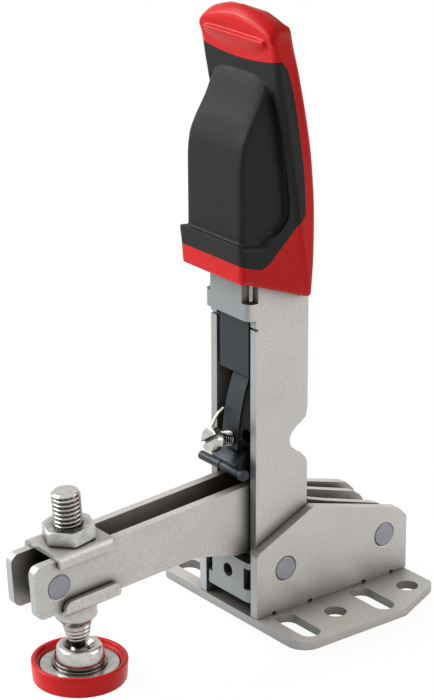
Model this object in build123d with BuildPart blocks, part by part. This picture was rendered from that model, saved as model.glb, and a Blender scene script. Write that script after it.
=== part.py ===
"""Vertical toggle clamp with a self-adjusting link, 55 x 66 mm flanged base.

Millimetres. +Z is up, +X is the rear, the arm points to -X, every pivot turns about Y.
The origin is the middle of the base plate's underside.
"""
import os
from math import asin, atan2, cos, degrees, hypot, radians, sin, sqrt

from build123d import *

os.makedirs("parts", exist_ok=True)

# ---------------------------------------------------------------- clearances
PIVOT_FIT = 0.05        # radial running fit of a pivot in its bore
PRESS_FIT = 0.02        # radial gap of a fixed pin in its bore, same body
SHEET_GAP = 0.10        # gap between sheets that slide past each other
MOULD_GAP = 0.05        # gap between the grip and the lever it is moulded round

# ---------------------------------------------------------------- base
BASE_LONG = 55.0
BASE_WIDE = 66.0
BASE_THICK = 2.5
BASE_FRONT_R = 6.0
BASE_REAR_CUT_X = 17.0
BASE_REAR_CUT_Y = 7.5
BASE_REAR_R = 3.0
BASE_HOLE_D = 6.3
ROUND_HOLE_Y = BASE_WIDE / 2 - 10.6
ROUND_HOLES = ((-6.5, ROUND_HOLE_Y), (20.3, ROUND_HOLE_Y))
SLOT_OUTER = BASE_WIDE / 2 - 2.55
SLOT_INNER = 14.75      # clear of the side plates' tabs
SLOT_X = (-20.1, 7.0)

# ---------------------------------------------------------------- side plates
SIDE_THICK = 2.9
SIDE_INNER = 10.1
SIDE_OUTER = SIDE_INNER + SIDE_THICK
SIDE_FRONT = -27.1
SIDE_REAR = 28.0
SIDE_FRONT_TOP = 22.0
SIDE_PEAK = (-6.9, 31.5)
SIDE_BACK = (24.7, 22.4)
SIDE_R = 4.0
TABS = ((-20.2, -8.7), (12.7, 21.65))
RELIEF_R = 0.75

# ---------------------------------------------------------------- pivots (x, z)
FRONT_PIVOT = (-16.8, 15.3)
REAR_PIVOT = (19.5, 15.3)
LINK_PIVOT = (-16.4, 33.5)
UPPER_PIVOT = (-15.3, 76.5)
FRONT_PIN_R = 3.2
REAR_PIN_R = 2.9
LINK_PIN_R = 3.0
HEAD_R = 3.72
HEAD_CONE = 0.8

# ---------------------------------------------------------------- lever sheet
SHEET = 2.5
LEVER_OUTER = 9.95
LEVER_INNER = LEVER_OUTER - SHEET
LEVER_FRONT = -25.1
LEVER_REAR = -6.95
WEB_FRONT = -27.7
LOWER_WEB_FRONT = -27.2
BEND_R = 2.4
WEB_BOTTOM = 87.2
LOWER_WEB = (6.2, 18.2)
LOWER_WEB_HOLE_R = 2.0
RELIEF_UP = (92.4, 97.5)
RELIEF_LOW = (10.8, 16.9)
RELIEF_DEPTH = 2.6
LEVER_TOP = 136.0
LEVER_FOOT_R = 9.85
FLANGE_STEP = (91.8, 93.9)      # where the rear edge steps in under the grip
FLANGE_STEP_X = -10.9
NOTCH = ((-6.95, 61.0), (-7.5, 57.9), (-9.1, 56.7), (-10.7, 55.8), (-12.6, 54.1))
NOTCH_LOW = ((-12.5, 50.0), (-11.2, 48.8), (-9.4, 47.6), (-7.8, 45.9), (-6.95, 44.2))
NOTCH_DEEP = (-13.2, 52.0)
BOSS_R = 3.6
BOSS_FACE = 6.75        # the inward bosses stop at this half width

# ---------------------------------------------------------------- arm
ARM_SLOPE = degrees(atan2(0.0664, 1.0))
PLATE = 2.5
ARM_INNER = 4.1
ARM_OUTER = ARM_INNER + PLATE
STATION = (-80.0, 29.0)
ARM_DEPTH_UP = 8.05     # arm's upper edge above the station, square to the arm
ARM_DEPTH_DOWN = 7.5
ARM_TIP_TOP = (-96.8, STATION[1] - 1.15 + ARM_DEPTH_UP)
ARM_TIP_BOTTOM = (-95.9, STATION[1] - 1.0 - ARM_DEPTH_DOWN)
ARM_TIP_R = 2.6
ARM_HUMP_Z = STATION[1] + 3.65 + ARM_DEPTH_UP
ARM_TOP = ((-24.0, ARM_HUMP_Z), (-14.0, ARM_HUMP_Z), (-3.6, 30.6), (4.5, 27.8), (22.0, 22.3))
ARM_LOW = (
    (8.0, 10.4),
    (-10.0, 20.5),
    (-29.4, 20.5),
    (-37.5, STATION[1] + 1.15 - ARM_DEPTH_DOWN),
    (-43.6, STATION[1] + 2.45 - ARM_DEPTH_DOWN),
)
ARM_EYE_R = 7.4
BUSH_R = 5.0
WASHER_R = 6.6
WASHER_THICK = 0.7
TIP_RIVET = (-88.7, 28.6)
TIP_SPACER_R = 3.75
TIP_PIN_R = 2.6

# ---------------------------------------------------------------- spindle station on the arm
SPINDLE_R = 4.0
SPINDLE_TOP = 23.0
SPINDLE_END = -17.6
NECK_R = 2.15
BALL_R = 3.5
BALL_CLEAR = 0.3
SADDLE = 1.5
SADDLE_FRONT = -9.0
SADDLE_REAR = 8.5
SADDLE_SIDE = 6.75
SADDLE_DROP = 3.6
SADDLE_R = 2.0
CRADLE_FRONT = -8.6
CRADLE_REAR = 9.6
CRADLE_SIDE = 7.3
CRADLE_LIP = -3.3
CRADLE_R = 2.6
NUT_AF = 13.0
NUT_HIGH = 4.4
NUT_FACE = 0.4
NUT_FACE_R = 6.2
COLLAR_R = 5.6
COLLAR_HIGH = 7.2
COLLAR_CHAMFER = 0.9

# ---------------------------------------------------------------- foot
BALL_Z = 2.8
FOOT_TOP = 6.2
FOOT_NECK_R = 5.9
FOOT_FLARE_R = 7.0
FOOT_DISC_R = 11.1
FOOT_DISC_TOP = 0.9
FOOT_DISC_LOW = -2.2
FOOT_MOUTH_R = 3.15
CAP_R = 13.3
CAP_LOW_R = 12.9
CAP_BOTTOM = -3.8
CAP_RIM = 2.1
CAP_LIP_R = 11.9

# ---------------------------------------------------------------- link and adjuster
LINK_HALF = 3.5
LINK_EYE_R = 5.0
LINK_TOP_EYE_R = 4.7
LINK_FRONT = -20.4
BLOCK_HALF = 6.4
BLOCK_FRONT = -24.9
BLOCK_REAR = -22.6
BLOCK_LOW = 72.3
BLOCK_TOP = 85.8
UPPER_PIN_R = 2.5
UPPER_PIN_HALF = 6.55
LEAF_THICK = 0.8
LEAF_LINE = ((-22.5, 70.75), (-24.7, 64.0), (-26.4, 54.0), (-26.7, 50.4))
CROSS_PIN = (-28.85, 45.4)
CROSS_PIN_R = 1.45
CROSS_PIN_HALF = 10.0
PIN_GROOVE = 0.25
PIN_GROOVES = (0.3, -7.4)
CARRIER_R = 2.5
CARRIER_HALF = 3.3
SCREW_HEAD = (-33.9, 54.3)      # middle of the head's outer face
SCREW_AIM = (-25.4, 52.7)
SCREW_HEAD_R = 3.5
SCREW_HEAD_THICK = 2.6
SCREW_R = 2.0
SCREW_LONG = 15.0
SCREW_SLOT = (1.2, 1.1)
SCREW_SLOT_TURN = 30.0
SPRING_WIRE_R = 0.45
SPRING_PATH = ((-26.15, 3.1, 60.9), (-28.2, 3.2, 59.4), (-30.0, 3.1, 56.7), (-30.4, 2.9, 54.4))

# ---------------------------------------------------------------- grip
GRIP_HALF_LOW = 13.6
GRIP_HALF_MID = 13.9
GRIP_HALF_TOP = 16.0
GRIP_HALF_Z = (90.0, 108.0, 128.0, 158.0)       # heights of the width's steps, bottom first
GRIP_BOTTOM = ((-32.6, 102.2), (-30.4, 101.8), (-8.3, 93.5))
GRIP_REAR = ((-8.2, 95.5), (-7.5, 106.3), (-7.7, 121.0), (-9.0, 132.7), (-11.5, 144.4), (-14.5, 155.8))
GRIP_HEAD = ((-17.2, 166.0), (-18.0, 170.5), (-19.8, 173.6), (-22.6, 174.4))
GRIP_FACE = ((-24.5, 168.0), (-23.6, 162.5), (-22.6, 156.0), (-21.7, 150.0), (-19.8, 141.0), (-18.1, 123.0))
GRIP_SKIRT = ((-18.2, 118.0), (-25.7, 111.9), (-33.4, 113.2), (-33.0, 107.8))
GRIP_BROW = (-24.6, 172.2)      # where the head's top turns down into its face
GRIP_ARCH = (
    (GRIP_HALF_TOP, 166.9),
    (GRIP_HALF_TOP - 0.7, 169.2),
    (GRIP_HALF_TOP - 2.5, 170.9),
    (GRIP_HALF_TOP - 5.5, 172.2),
    (GRIP_HALF_TOP - 10.4, 173.6),
    (0.0, 174.4),
)
SWELL_HALF = 11.5
SWELL = (
    (-22.7, 157.6),
    (-24.3, 154.4),
    (-25.6, 151.4),
    (-27.2, 148.0),
    (-29.2, 144.0),
    (-31.2, 138.6),
    (-31.9, 133.0),
)
SWELL_LOW = (-31.8, 112.0)
SWELL_BACK = -16.5
SWELL_BACK_TOP = 140.0
INSERT_TOP = ((-24.6, 160.9), (-21.4, 161.9))
INSERT_SIDE = ((-19.6, 160.3), (-17.8, 154.9), (-15.6, 146.6), (-13.9, 138.4), (-12.4, 129.6), (-11.6, 117.8))
INSERT_LOW = ((-15.0, 114.5), (-21.1, 108.9), (-23.3, 106.8), (-25.3, 105.8), (-27.5, 105.8), (-34.5, 108.2))
POCKET_HALF = 7.0
POCKET_REAR = -9.3
POCKET_TOP = 99.5
GRIP_PIN = (-19.0, 126.0)
GRIP_PIN_R = 2.0
GRIP_PIN_HALF = 10.8

# ================================================================ base body
with BuildPart() as base_plate:
    with BuildSketch():
        rear_x = BASE_LONG / 2
        side_y = BASE_WIDE / 2
        with BuildLine():
            Polyline(
                (-rear_x, -side_y),
                (rear_x - BASE_REAR_CUT_X, -side_y),
                (rear_x, -side_y + BASE_REAR_CUT_Y),
                (rear_x, side_y - BASE_REAR_CUT_Y),
                (rear_x - BASE_REAR_CUT_X, side_y),
                (-rear_x, side_y),
                close=True,
            )
        make_face()
        fillet(vertices().group_by(Axis.X)[0], BASE_FRONT_R)
        fillet(vertices().group_by(Axis.X)[-1], BASE_REAR_R)
        for hole_x, hole_y in ROUND_HOLES:
            with Locations((hole_x, hole_y), (hole_x, -hole_y)):
                Circle(BASE_HOLE_D / 2, mode=Mode.SUBTRACT)
        slot_y = (SLOT_OUTER + SLOT_INNER) / 2
        for hole_x in SLOT_X:
            with Locations((hole_x, slot_y), (hole_x, -slot_y)):
                SlotOverall(SLOT_OUTER - SLOT_INNER, BASE_HOLE_D, rotation=90, mode=Mode.SUBTRACT)
        for tab_from, tab_to in TABS:
            tab_long = tab_to - tab_from + 2 * PRESS_FIT
            side_mid = (SIDE_INNER + SIDE_OUTER) / 2
            with Locations(((tab_from + tab_to) / 2, side_mid), ((tab_from + tab_to) / 2, -side_mid)):
                Rectangle(tab_long, SIDE_THICK + 2 * PRESS_FIT, mode=Mode.SUBTRACT)
    extrude(amount=BASE_THICK)


def flat(y):
    """A sketch plane square to Y: local x along X, local y along Z, extruding towards -Y."""
    return Plane(origin=(0, y, 0), x_dir=(1, 0, 0), z_dir=(0, -1, 0))


def turned(points, middle):
    """A revolved part whose axis runs along Y through middle; points are (radius, y)."""
    with BuildPart() as solid:
        with BuildSketch(Plane(origin=(middle[0], 0, middle[1]), x_dir=(1, 0, 0), z_dir=(0, 0, 1))):
            with BuildLine():
                Polyline(*points, close=True)
            make_face()
        revolve(axis=Axis((middle[0], 0, middle[1]), (0, 1, 0)))
    return solid.part


def rivet(middle, shank_r, half, head_r):
    """A solid rivet, both heads sunk flush."""
    cone_from = half - HEAD_CONE
    return turned(
        (
            (0, -half),
            (head_r, -half),
            (shank_r, -cone_from),
            (shank_r, cone_from),
            (head_r, half),
            (0, half),
        ),
        middle,
    )


def tube(middle, inner_r, outer_r, y_low, y_high):
    """A plain tube or washer along Y."""
    return turned(((inner_r, y_low), (outer_r, y_low), (outer_r, y_high), (inner_r, y_high)), middle)


def countersink(middle, shank_r, head_r, face_y):
    """Cuts a sunk seat for a rivet head from the part being built; face_y is signed."""
    inward = -1 if face_y > 0 else 1
    with BuildSketch(Plane(origin=(middle[0], 0, middle[1]), x_dir=(1, 0, 0), z_dir=(0, 0, 1))) as seat:
        with BuildLine():
            Polyline(
                (0, face_y - inward),
                (head_r, face_y - inward),
                (head_r, face_y),
                (shank_r, face_y + inward * HEAD_CONE),
                (0, face_y + inward * HEAD_CONE),
                close=True,
            )
        make_face()
    revolve(seat.sketch, axis=Axis((middle[0], 0, middle[1]), (0, 1, 0)), mode=Mode.SUBTRACT)


def side_plate(y_low, y_high):
    """One bearing plate with its tabs, relief notches and rivet seats."""
    outer_y = y_high if y_high > 0 else y_low
    with BuildPart() as plate:
        with BuildSketch(flat(y_high)):
            with BuildLine():
                Polyline(
                    (SIDE_FRONT, BASE_THICK),
                    (SIDE_FRONT, SIDE_FRONT_TOP),
                    SIDE_PEAK,
                    SIDE_BACK,
                    (SIDE_REAR, SIDE_BACK[1] - SIDE_R * 0.8),
                    (SIDE_REAR, BASE_THICK),
                    close=True,
                )
            make_face()
            fillet([v for v in vertices() if v.Y > BASE_THICK + 1], SIDE_R * 0.6)
            for tab_from, tab_to in TABS:
                with Locations(((tab_from + tab_to) / 2, BASE_THICK / 2 + 0.2)):
                    Rectangle(tab_to - tab_from, BASE_THICK + 0.4)
                with Locations((tab_from - RELIEF_R, BASE_THICK), (tab_to + RELIEF_R, BASE_THICK)):
                    Circle(RELIEF_R, mode=Mode.SUBTRACT)
            with Locations(FRONT_PIVOT):
                Circle(FRONT_PIN_R + PRESS_FIT, mode=Mode.SUBTRACT)
            with Locations(REAR_PIVOT):
                Circle(REAR_PIN_R + PRESS_FIT, mode=Mode.SUBTRACT)
        extrude(amount=y_high - y_low)
        countersink(FRONT_PIVOT, FRONT_PIN_R + PRESS_FIT, HEAD_R + PRESS_FIT, outer_y)
        countersink(REAR_PIVOT, REAR_PIN_R + PRESS_FIT, HEAD_R + PRESS_FIT, outer_y)
    return plate.part


side_plate_near = side_plate(-SIDE_OUTER, -SIDE_INNER)
side_plate_far = side_plate(SIDE_INNER, SIDE_OUTER)
front_rivet = rivet(FRONT_PIVOT, FRONT_PIN_R, SIDE_OUTER, HEAD_R)
rear_rivet = rivet(REAR_PIVOT, REAR_PIN_R, SIDE_OUTER, HEAD_R)
lever_spacer = tube(
    FRONT_PIVOT, FRONT_PIN_R + PRESS_FIT, FRONT_PIN_R + 1.3, -LEVER_INNER + SHEET_GAP, LEVER_INNER - SHEET_GAP
)

# ================================================================ arm body
slope = radians(ARM_SLOPE)


def arm_plate(y_low, y_high):
    """One arm plate: straight deep nose, cranked root, round eye on the rear pivot."""
    outer_y = y_high if y_high > 0 else y_low
    with BuildPart() as plate:
        with BuildSketch(flat(y_high)):
            with BuildLine():
                Polyline(ARM_TIP_BOTTOM, ARM_TIP_TOP, *ARM_TOP, REAR_PIVOT, *ARM_LOW, close=True)
            make_face()
            fillet(vertices().group_by(Axis.X)[0] + vertices().group_by(Axis.X)[1], ARM_TIP_R)
            with Locations(REAR_PIVOT):
                Circle(ARM_EYE_R)
                Circle(BUSH_R + PRESS_FIT, mode=Mode.SUBTRACT)
            with Locations(LINK_PIVOT):
                Circle(LINK_PIN_R + PRESS_FIT, mode=Mode.SUBTRACT)
            with Locations(TIP_RIVET):
                Circle(TIP_PIN_R + PRESS_FIT, mode=Mode.SUBTRACT)
        extrude(amount=y_high - y_low)
        countersink(TIP_RIVET, TIP_PIN_R + PRESS_FIT, HEAD_R + PRESS_FIT, outer_y)
    return plate.part


arm_plate_near = arm_plate(-ARM_OUTER, -ARM_INNER)
arm_plate_far = arm_plate(ARM_INNER, ARM_OUTER)
WASHER_FACE = ARM_OUTER + PRESS_FIT + WASHER_THICK
arm_bush = tube(REAR_PIVOT, REAR_PIN_R + PIVOT_FIT, BUSH_R, -WASHER_FACE, WASHER_FACE)
arm_washer_near = tube(REAR_PIVOT, BUSH_R + PRESS_FIT, WASHER_R, -WASHER_FACE, -ARM_OUTER - PRESS_FIT)
arm_washer_far = tube(REAR_PIVOT, BUSH_R + PRESS_FIT, WASHER_R, ARM_OUTER + PRESS_FIT, WASHER_FACE)
tip_rivet = rivet(TIP_RIVET, TIP_PIN_R, ARM_OUTER, HEAD_R)
tip_spacer = tube(TIP_RIVET, TIP_PIN_R + PRESS_FIT, TIP_SPACER_R, -ARM_INNER, ARM_INNER)
link_pin = turned(
    ((0, -ARM_OUTER), (LINK_PIN_R, -ARM_OUTER), (LINK_PIN_R, ARM_OUTER), (0, ARM_OUTER)),
    LINK_PIVOT,
)

# ================================================================ lever body
with BuildPart() as lever_channel:
    for flange_top in (LEVER_OUTER, -LEVER_INNER):
        with BuildSketch(flat(flange_top)):
            with BuildLine():
                foot_x, foot_z = FRONT_PIVOT
                Polyline(
                    (foot_x + LEVER_FOOT_R, foot_z),
                    NOTCH_LOW[-1],
                )
                Polyline(*reversed(NOTCH_LOW))
                ThreePointArc(NOTCH_LOW[0], NOTCH_DEEP, NOTCH[-1])
                Polyline(*reversed(NOTCH))
                Polyline(
                    NOTCH[0],
                    (LEVER_REAR, FLANGE_STEP[0]),
                    (FLANGE_STEP_X, FLANGE_STEP[1]),
                    (FLANGE_STEP_X, LEVER_TOP),
                    (LEVER_FRONT, LEVER_TOP),
                    (LEVER_FRONT, LOWER_WEB[0]),
                    (foot_x - 1, foot_z - LEVER_FOOT_R),
                    (foot_x, foot_z - LEVER_FOOT_R),
                )
                ThreePointArc(
                    (foot_x, foot_z - LEVER_FOOT_R),
                    (foot_x + LEVER_FOOT_R * sin(radians(45)), foot_z - LEVER_FOOT_R * cos(radians(45))),
                    (foot_x + LEVER_FOOT_R, foot_z),
                )
            make_face()
            with Locations(FRONT_PIVOT):
                Circle(FRONT_PIN_R + PIVOT_FIT, mode=Mode.SUBTRACT)
        extrude(amount=SHEET)
    for web_front, web_low, web_high in (
        (WEB_FRONT, WEB_BOTTOM, LEVER_TOP),
        (LOWER_WEB_FRONT, LOWER_WEB[0], LOWER_WEB[1]),
    ):
        with BuildSketch(Plane.XY.offset(web_low)):
            with BuildLine():
                bend = min(BEND_R, LEVER_FRONT - web_front - 0.1)
                side_in = LEVER_OUTER - bend
                Line((LEVER_FRONT, -LEVER_OUTER), (LEVER_FRONT, LEVER_OUTER))
                Line((LEVER_FRONT, LEVER_OUTER), (web_front + bend, LEVER_OUTER))
                RadiusArc((web_front + bend, LEVER_OUTER), (web_front, side_in), -bend)
                Line((web_front, side_in), (web_front, -side_in))
                RadiusArc((web_front, -side_in), (web_front + bend, -LEVER_OUTER), -bend)
                Line((web_front + bend, -LEVER_OUTER), (LEVER_FRONT, -LEVER_OUTER))
            make_face()
        extrude(amount=web_high - web_low)
    for window_low, window_high in (RELIEF_UP, RELIEF_LOW):
        for window_y in (LEVER_OUTER, -LEVER_OUTER):
            with Locations((WEB_FRONT, window_y, (window_low + window_high) / 2)):
                Box(
                    2 * (LEVER_FRONT - WEB_FRONT) - 0.6,
                    2 * RELIEF_DEPTH,
                    window_high - window_low,
                    mode=Mode.SUBTRACT,
                )
    with BuildSketch(Plane(origin=(LOWER_WEB_FRONT - 1, 0, 0), x_dir=(0, 1, 0), z_dir=(1, 0, 0))):
        with Locations((0, FRONT_PIVOT[1] - 2.1)):
            Circle(LOWER_WEB_HOLE_R)
    extrude(amount=LEVER_FRONT - LOWER_WEB_FRONT + 2, mode=Mode.SUBTRACT)
    for boss_low, boss_high in ((BOSS_FACE, LEVER_INNER), (-LEVER_INNER, -BOSS_FACE)):
        with BuildSketch(flat(boss_high)):
            with Locations(UPPER_PIVOT):
                Circle(BOSS_R)
        extrude(amount=boss_high - boss_low)
    for bore_top in (LEVER_OUTER, -LEVER_INNER):
        with BuildSketch(flat(bore_top)):
            with Locations(GRIP_PIN):
                Circle(GRIP_PIN_R + PRESS_FIT)
        extrude(amount=SHEET, mode=Mode.SUBTRACT)


def grip_envelope():
    """Adds the full-width moulded body, skirt to domed head, to the part being built."""
    with BuildSketch(flat(GRIP_HALF_TOP + 1)) as side_view:
        with BuildLine():
            Polyline(GRIP_SKIRT[-1], *GRIP_BOTTOM, GRIP_REAR[0])
            Spline(*GRIP_REAR, *GRIP_HEAD)
            Polyline(GRIP_HEAD[-1], GRIP_BROW, GRIP_FACE[0])
            Spline(*GRIP_FACE, GRIP_SKIRT[0])
            Polyline(*GRIP_SKIRT)
        make_face()
    extrude(side_view.sketch, amount=2 * GRIP_HALF_TOP + 2)
    with BuildSketch(Plane(origin=(-45, 0, 0), x_dir=(0, 1, 0), z_dir=(1, 0, 0))) as front_view:
        with BuildLine():
            Polyline(
                (-GRIP_HALF_TOP, GRIP_ARCH[0][1]),
                (-GRIP_HALF_TOP, GRIP_HALF_Z[3]),
                (-GRIP_HALF_MID, GRIP_HALF_Z[2]),
                (-GRIP_HALF_LOW, GRIP_HALF_Z[1]),
                (-GRIP_HALF_LOW, GRIP_HALF_Z[0]),
                (GRIP_HALF_LOW, GRIP_HALF_Z[0]),
                (GRIP_HALF_LOW, GRIP_HALF_Z[1]),
                (GRIP_HALF_MID, GRIP_HALF_Z[2]),
                (GRIP_HALF_TOP, GRIP_HALF_Z[3]),
                GRIP_ARCH[0],
            )
            Spline(*GRIP_ARCH, *((-y, z) for y, z in reversed(GRIP_ARCH[:-1])))
        make_face()
    extrude(front_view.sketch, amount=60, mode=Mode.INTERSECT)


def insert_region(mode):
    """The side outline of the dark insert, swept through the whole width."""
    with BuildSketch(flat(GRIP_HALF_TOP + 2)) as region:
        with BuildLine():
            Polyline(INSERT_LOW[-1], (-45, INSERT_LOW[-1][1]), (-45, INSERT_TOP[0][1]), *INSERT_TOP)
            Spline(INSERT_TOP[-1], *INSERT_SIDE)
            Polyline(INSERT_SIDE[-1], *INSERT_LOW)
        make_face()
    extrude(region.sketch, amount=2 * GRIP_HALF_TOP + 4, mode=mode)


def lever_socket():
    """Cuts the room for the lever channel, its pin, and the swing of the link's block."""
    gap = MOULD_GAP
    low = 90.0
    room_high = LEVER_TOP + gap - low
    with Locations(((WEB_FRONT + FLANGE_STEP_X) / 2, 0, low + room_high / 2)):
        Box(
            FLANGE_STEP_X - WEB_FRONT + 2 * gap,
            2 * (LEVER_OUTER + gap),
            room_high,
            mode=Mode.SUBTRACT,
        )
    with Locations(((WEB_FRONT + POCKET_REAR) / 2, 0, (low + POCKET_TOP) / 2)):
        Box(POCKET_REAR - WEB_FRONT, 2 * POCKET_HALF, POCKET_TOP - low, mode=Mode.SUBTRACT)
    with BuildSketch(flat(GRIP_PIN_HALF)) as pin_hole:
        with Locations(GRIP_PIN):
            Circle(GRIP_PIN_R + PRESS_FIT)
    extrude(pin_hole.sketch, amount=2 * GRIP_PIN_HALF, mode=Mode.SUBTRACT)


with BuildPart() as grip_shell:
    grip_envelope()
    insert_region(Mode.SUBTRACT)
    lever_socket()

with BuildPart() as grip_insert:
    grip_envelope()
    insert_region(Mode.INTERSECT)
    with BuildSketch(flat(SWELL_HALF)):
        with BuildLine():
            Polyline(SWELL[-1], SWELL_LOW, (SWELL_BACK, SWELL_LOW[1]), (SWELL_BACK, SWELL_BACK_TOP), SWELL[0])
            Spline(*SWELL)
        make_face()
    extrude(amount=2 * SWELL_HALF)
    lever_socket()

grip_pin = turned(
    ((0, -GRIP_PIN_HALF), (GRIP_PIN_R, -GRIP_PIN_HALF), (GRIP_PIN_R, GRIP_PIN_HALF), (0, GRIP_PIN_HALF)), GRIP_PIN
)

# ================================================================ link body
screw_dx = SCREW_AIM[0] - SCREW_HEAD[0]
screw_dz = SCREW_AIM[1] - SCREW_HEAD[1]
screw_len = hypot(screw_dx, screw_dz)
screw_dir = (screw_dx / screw_len, 0, screw_dz / screw_len)
screw_plane = Plane(origin=(SCREW_HEAD[0], 0, SCREW_HEAD[1]), x_dir=(0, 1, 0), z_dir=screw_dir)


def screw_bore(gap):
    """Cuts the screw's clearance hole along its own axis."""
    with BuildSketch(screw_plane) as bore:
        Circle(SCREW_R + gap)
    extrude(bore.sketch, amount=SCREW_LONG + SCREW_HEAD_THICK + 3, mode=Mode.SUBTRACT)


with BuildPart() as link_plate:
    with BuildSketch(flat(LINK_HALF)):
        with BuildLine():
            Polyline(
                (LINK_FRONT, LINK_PIVOT[1] + 3),
                (LINK_FRONT, 69.0),
                (UPPER_PIVOT[0] - LINK_TOP_EYE_R, UPPER_PIVOT[1]),
                (UPPER_PIVOT[0] + LINK_TOP_EYE_R, UPPER_PIVOT[1]),
                (-11.6, 69.0),
                (-11.6, LINK_PIVOT[1] + 1),
                close=True,
            )
        make_face()
        with Locations(LINK_PIVOT):
            Circle(LINK_EYE_R)
            Circle(LINK_PIN_R + PIVOT_FIT, mode=Mode.SUBTRACT)
        with Locations(UPPER_PIVOT):
            Circle(LINK_TOP_EYE_R)
            Circle(UPPER_PIN_R + PRESS_FIT, mode=Mode.SUBTRACT)
    extrude(amount=2 * LINK_HALF)
    screw_bore(PIVOT_FIT)

with BuildPart() as link_block:
    with BuildSketch(flat(BLOCK_HALF)):
        with Locations(((BLOCK_FRONT + BLOCK_REAR) / 2, (BLOCK_LOW + BLOCK_TOP) / 2)):
            Rectangle(BLOCK_REAR - BLOCK_FRONT, BLOCK_TOP - BLOCK_LOW)
    extrude(amount=2 * BLOCK_HALF)
    with BuildSketch(flat(LINK_HALF)):
        with BuildLine():
            Polyline(
                (BLOCK_REAR, BLOCK_LOW),
                (BLOCK_REAR, BLOCK_LOW + 7),
                (UPPER_PIVOT[0] - LINK_TOP_EYE_R - 1, UPPER_PIVOT[1] + 1),
                (UPPER_PIVOT[0] - LINK_TOP_EYE_R - 1, BLOCK_LOW),
                close=True,
            )
        make_face()
    extrude(amount=2 * LINK_HALF)

upper_pin = turned(
    (
        (0, -UPPER_PIN_HALF),
        (UPPER_PIN_R, -UPPER_PIN_HALF),
        (UPPER_PIN_R, UPPER_PIN_HALF),
        (0, UPPER_PIN_HALF),
    ),
    UPPER_PIVOT,
)

with BuildPart() as adjuster_leaf:
    with BuildSketch(flat(LINK_HALF)):
        with BuildLine():
            leaf_back = [(x + LEAF_THICK, z) for x, z in reversed(LEAF_LINE)]
            Spline(*LEAF_LINE)
            Line(LEAF_LINE[-1], leaf_back[0])
            Spline(*leaf_back)
            Line(leaf_back[-1], LEAF_LINE[0])
        make_face()
    extrude(amount=2 * LINK_HALF)
    screw_bore(0.3)

with BuildPart() as pin_carrier:
    with BuildSketch(flat(CARRIER_HALF)):
        with BuildLine():
            Polyline(
                (CROSS_PIN[0] - 1.2, CROSS_PIN[1] + 2.1),
                (LEAF_LINE[-1][0] + LEAF_THICK + 0.5, CROSS_PIN[1] + 4.0),
                (LINK_FRONT, CROSS_PIN[1] + 4.0),
                (LINK_FRONT, CROSS_PIN[1] - 1.4),
                (CROSS_PIN[0] + 1.0, CROSS_PIN[1] - 2.2),
                close=True,
            )
        make_face()
        with Locations(CROSS_PIN):
            Circle(CARRIER_R)
            Circle(CROSS_PIN_R + PRESS_FIT, mode=Mode.SUBTRACT)
    extrude(amount=2 * CARRIER_HALF)

end = CROSS_PIN_HALF
bevel = 0.5
groove_half = 0.35
pin_outline = [(0, -end), (CROSS_PIN_R - bevel, -end), (CROSS_PIN_R, -end + bevel)]
for groove_y in sorted(PIN_GROOVES):
    if abs(groove_y) > CARRIER_HALF:
        pin_outline += [
            (CROSS_PIN_R, groove_y - groove_half),
            (CROSS_PIN_R - PIN_GROOVE, groove_y - groove_half),
            (CROSS_PIN_R - PIN_GROOVE, groove_y + groove_half),
            (CROSS_PIN_R, groove_y + groove_half),
        ]
pin_outline += [(CROSS_PIN_R, end - bevel), (CROSS_PIN_R - bevel, end), (0, end)]
cross_pin = turned(pin_outline, CROSS_PIN)

with BuildPart() as adjuster_spring:
    with BuildLine():
        wire = Spline(*SPRING_PATH)
    with BuildSketch(Plane(origin=wire @ 0, z_dir=wire % 0)):
        Circle(SPRING_WIRE_R)
    sweep()

with BuildPart() as adjusting_screw:
    with BuildSketch(screw_plane):
        Circle(SCREW_HEAD_R)
    extrude(amount=SCREW_HEAD_THICK)
    fillet(edges().filter_by(GeomType.CIRCLE).sort_by(Axis.X)[0], 0.5)
    with BuildSketch(screw_plane.offset(SCREW_HEAD_THICK)):
        Circle(SCREW_R)
    extrude(amount=SCREW_LONG - SCREW_HEAD_THICK)
    with BuildSketch(screw_plane.offset(-1)):
        Rectangle(2 * SCREW_HEAD_R + 2, SCREW_SLOT[0], rotation=SCREW_SLOT_TURN)
    extrude(amount=1 + SCREW_SLOT[1], mode=Mode.SUBTRACT)

# ================================================================ holder body
station = Plane(
    origin=(STATION[0], 0, STATION[1]),
    x_dir=(cos(slope), 0, sin(slope)),
    z_dir=(-sin(slope), 0, cos(slope)),
)


def across(s):
    """A plane square to the arm at distance s from the station; local x is +Y, local y is up the spindle."""
    along = station.x_dir
    middle = station.origin + along * s
    return Plane(origin=middle, x_dir=(0, 1, 0), z_dir=along)


with BuildPart() as upper_saddle:
    top = ARM_DEPTH_UP + SADDLE
    side = SADDLE_SIDE + SADDLE
    with BuildSketch(across(SADDLE_FRONT)):
        with Locations((0, top - SADDLE_DROP / 2)):
            Rectangle(2 * side, SADDLE_DROP)
        fillet(vertices().group_by(Axis.Y)[-1], SADDLE_R)
        with Locations((0, ARM_DEPTH_UP - SADDLE_DROP)):
            Rectangle(2 * SADDLE_SIDE, 2 * SADDLE_DROP, mode=Mode.SUBTRACT)
    extrude(amount=SADDLE_REAR - SADDLE_FRONT)
    with BuildSketch(station):
        Circle(SPINDLE_R + 0.3)
    extrude(amount=top + 1, mode=Mode.SUBTRACT)

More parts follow.
